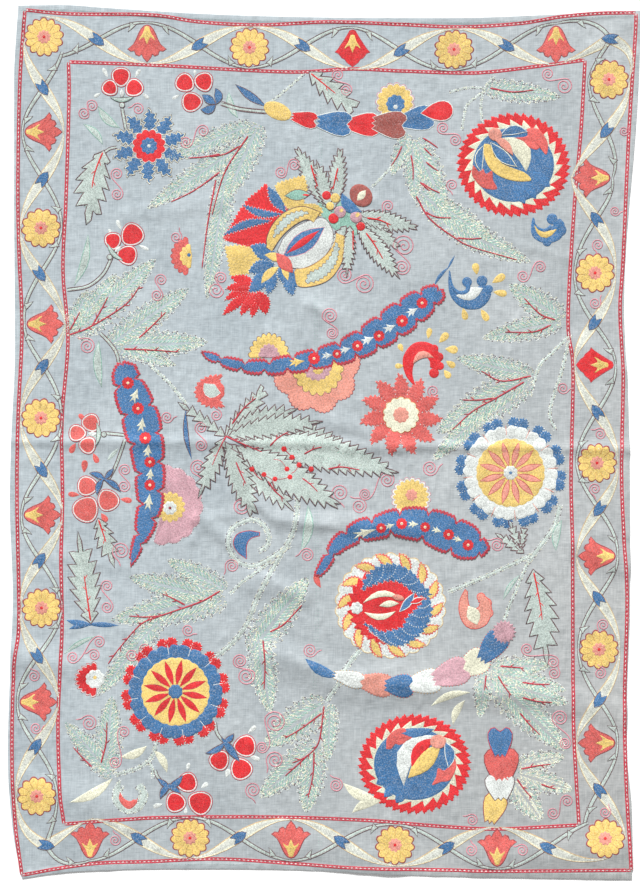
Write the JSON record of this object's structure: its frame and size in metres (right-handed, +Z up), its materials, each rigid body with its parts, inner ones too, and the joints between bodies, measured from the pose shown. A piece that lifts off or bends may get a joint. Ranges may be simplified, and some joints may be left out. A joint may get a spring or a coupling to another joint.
{
  "type": "suzani embroidered textile",
  "caption": "Large suzani hanging of blue-grey silk laid out flat: panels seamed down the middle, hemmed all round, with soft creases and an uneven outline.",
  "frame": {"origin": "centre of the laid cloth's bounding box, on the surface that it lies on", "axes": "+X across the cloth to its right edge, +Y along the cloth to its top edge, +Z up out of the embroidered face"},
  "size_m": [1.044, 1.442, 0.0079],
  "materials": {
    "silk_ground": "slubby hand-woven silk, soft sheen",
    "scarlet_thread": "silk chain stitch",
    "coral_thread": "silk chain stitch",
    "blush_thread": "silk chain stitch",
    "yellow_thread": "silk chain stitch",
    "blue_thread": "silk chain stitch",
    "mauve_thread": "silk chain stitch",
    "mint_thread": "silk chain stitch",
    "white_thread": "silk chain stitch",
    "russet_thread": "silk chain stitch",
    "dark_thread": "silk chain stitch"
  },
  "bodies": {
    "root": {"left_panel": "silk_ground", "right_panel": "silk_ground"}
  },
  "joints": []
}
